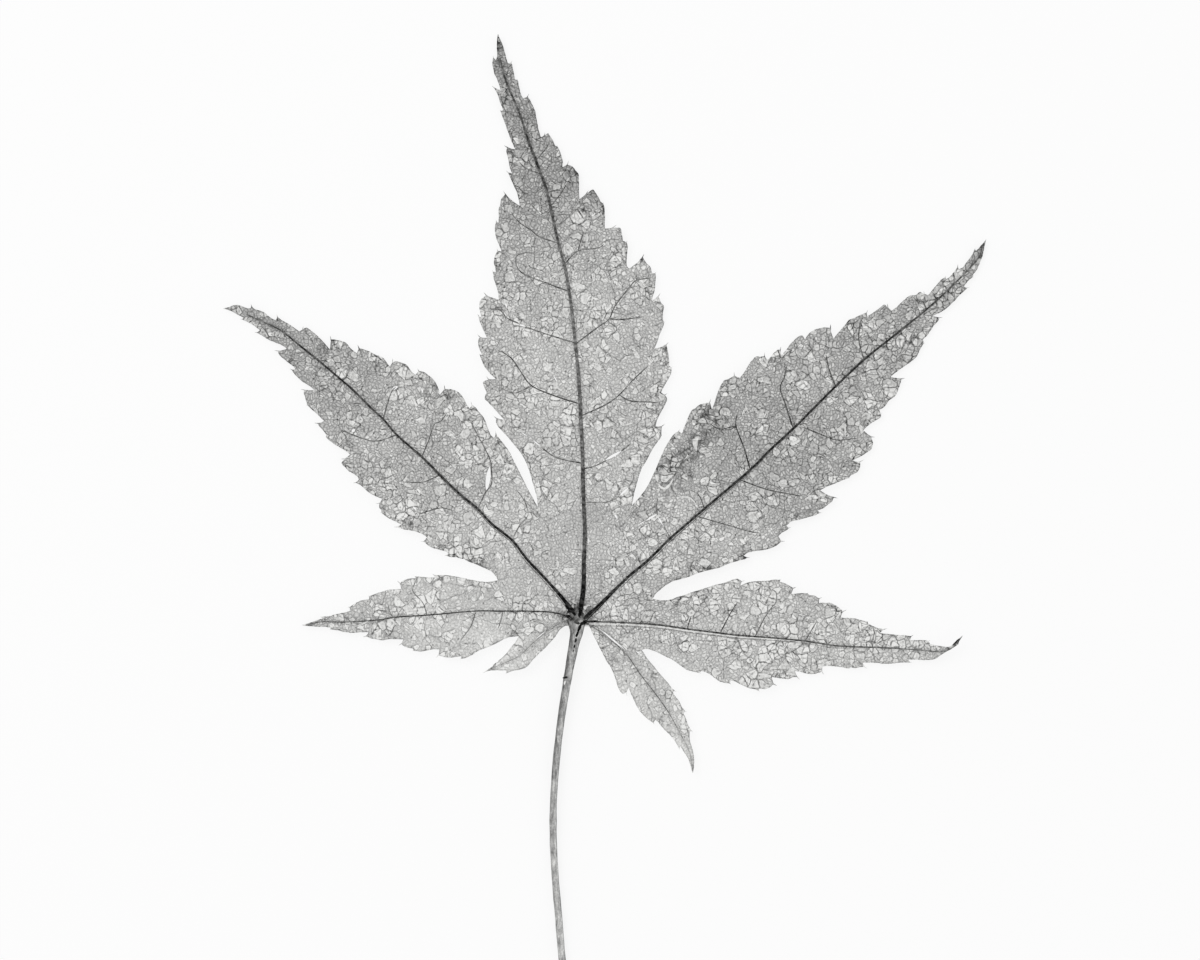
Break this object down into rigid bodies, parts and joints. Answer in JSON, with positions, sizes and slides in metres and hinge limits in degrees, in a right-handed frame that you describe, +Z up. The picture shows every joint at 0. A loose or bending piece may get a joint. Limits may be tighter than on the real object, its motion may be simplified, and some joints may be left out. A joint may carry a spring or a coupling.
{
  "type": "maple leaf",
  "caption": "Dried Japanese maple leaf with finely toothed pointed lobes, raised ribs and a slender curved stalk, lying flat.",
  "frame": {"origin": "centre of the leaf's box, on the surface it lies on", "axes": "+Y along the middle lobe toward its tip, the stalk toward -Y, +X to the right, +Z up out of the upper face"},
  "size_m": [0.0764, 0.097, 0.0017],
  "materials": {
    "dried_leaf": "matte"
  },
  "bodies": {
    "root": {"maple_leaf": "dried_leaf"}
  },
  "joints": []
}
